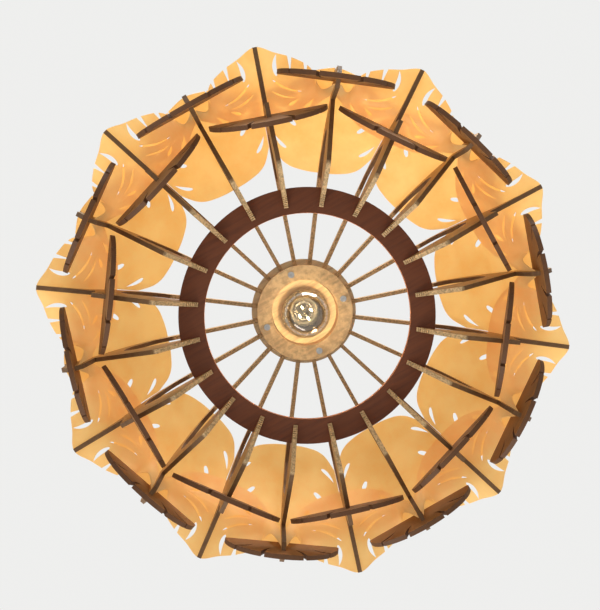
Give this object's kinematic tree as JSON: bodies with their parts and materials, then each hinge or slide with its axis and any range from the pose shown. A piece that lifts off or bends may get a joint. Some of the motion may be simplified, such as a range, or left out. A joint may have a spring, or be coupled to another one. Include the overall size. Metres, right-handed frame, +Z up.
{
  "type": "pendant lantern",
  "caption": "Flower-shaped pendant lantern of radial plywood ribs in a hub and ring, with pierced amber petals, half-moon plates and a clear bulb in a lamp holder.",
  "frame": {"origin": "on the lantern's axis, at the shoulder where the free end of the hanging nipple starts, 0.5 mm over the holder dome", "axes": "+Z up along the lantern's axis towards the ceiling, +X along the first main rib"},
  "size_m": [0.6148, 0.5852, 0.2298],
  "materials": {
    "rib_plywood": "laser-cut plywood, scorched edges",
    "half_moon_plywood": "laser-cut plywood, oiled",
    "ring_plywood": "dark stained plywood",
    "hub_plywood": "laser-cut plywood",
    "collar_plywood": "mottled stacked plywood edges",
    "petal_film": "thin translucent amber sheet",
    "fastener_steel": "zinc plated",
    "holder_plastic": "moulded black plastic",
    "holder_ceramic": "unglazed",
    "contact_brass": "plain",
    "nipple_steel": "threaded tube, zinc plated",
    "bulb_glass": "clear",
    "bulb_cap_metal": "rolled thread",
    "stem_glass": "clear pressed glass",
    "filament_glow": "coated lit filaments"
  },
  "bodies": {
    "lantern": {"main_rib_01": "rib_plywood", "side_rib_01": "rib_plywood", "lower_petal_01": "petal_film", "upper_petal_01": "petal_film", "main_rib_02": "rib_plywood", "side_rib_02": "rib_plywood", "lower_petal_02": "petal_film", "upper_petal_02": "petal_film", "main_rib_03": "rib_plywood", "side_rib_03": "rib_plywood", "lower_petal_03": "petal_film", "upper_petal_03": "petal_film", "main_rib_04": "rib_plywood", "side_rib_04": "rib_plywood", "lower_petal_04": "petal_film", "upper_petal_04": "petal_film", "main_rib_05": "rib_plywood", "side_rib_05": "rib_plywood", "lower_petal_05": "petal_film", "upper_petal_05": "petal_film", "main_rib_06": "rib_plywood", "side_rib_06": "rib_plywood", "lower_petal_06": "petal_film", "upper_petal_06": "petal_film", "main_rib_07": "rib_plywood", "side_rib_07": "rib_plywood", "lower_petal_07": "petal_film", "upper_petal_07": "petal_film", "main_rib_08": "rib_plywood", "side_rib_08": "rib_plywood", "lower_petal_08": "petal_film", "upper_petal_08": "petal_film", "main_rib_09": "rib_plywood", "side_rib_09": "rib_plywood", "lower_petal_09": "petal_film", "upper_petal_09": "petal_film", "main_rib_10": "rib_plywood", "side_rib_10": "rib_plywood", "lower_petal_10": "petal_film", "upper_petal_10": "petal_film", "inner_half_moons": "half_moon_plywood", "outer_half_moons": "half_moon_plywood", "lower_ring": "ring_plywood", "hub_disc": "hub_plywood", "collar_ring_1": "collar_plywood", "collar_ring_2": "collar_plywood", "collar_ring_3": "collar_plywood", "collar_ring_4": "collar_plywood", "collar_bolts": "fastener_steel", "collar_nuts": "fastener_steel", "holder_body": "holder_plastic", "holder_core": "holder_ceramic", "holder_contacts": "contact_brass", "hanging_nipple": "nipple_steel"},
    "bulb": {"bulb_glass": "bulb_glass", "bulb_cap": "bulb_cap_metal", "bulb_stem": "stem_glass", "bulb_filaments": "filament_glow"},
    "clamp": {"clamp_ring": "holder_plastic"}
  },
  "joints": [
    {"name": "bulb_turn", "type": "hinge", "parent": "lantern", "child": "bulb", "pos_m": [0, 0, -0.04], "axis": [0, 0, 1], "range_deg": [-1080, 0]},
    {"name": "clamp_turn", "type": "hinge", "parent": "lantern", "child": "clamp", "pos_m": [0, 0, -0.058], "axis": [0, 0, 1], "range_deg": [-720, 0]}
  ]
}
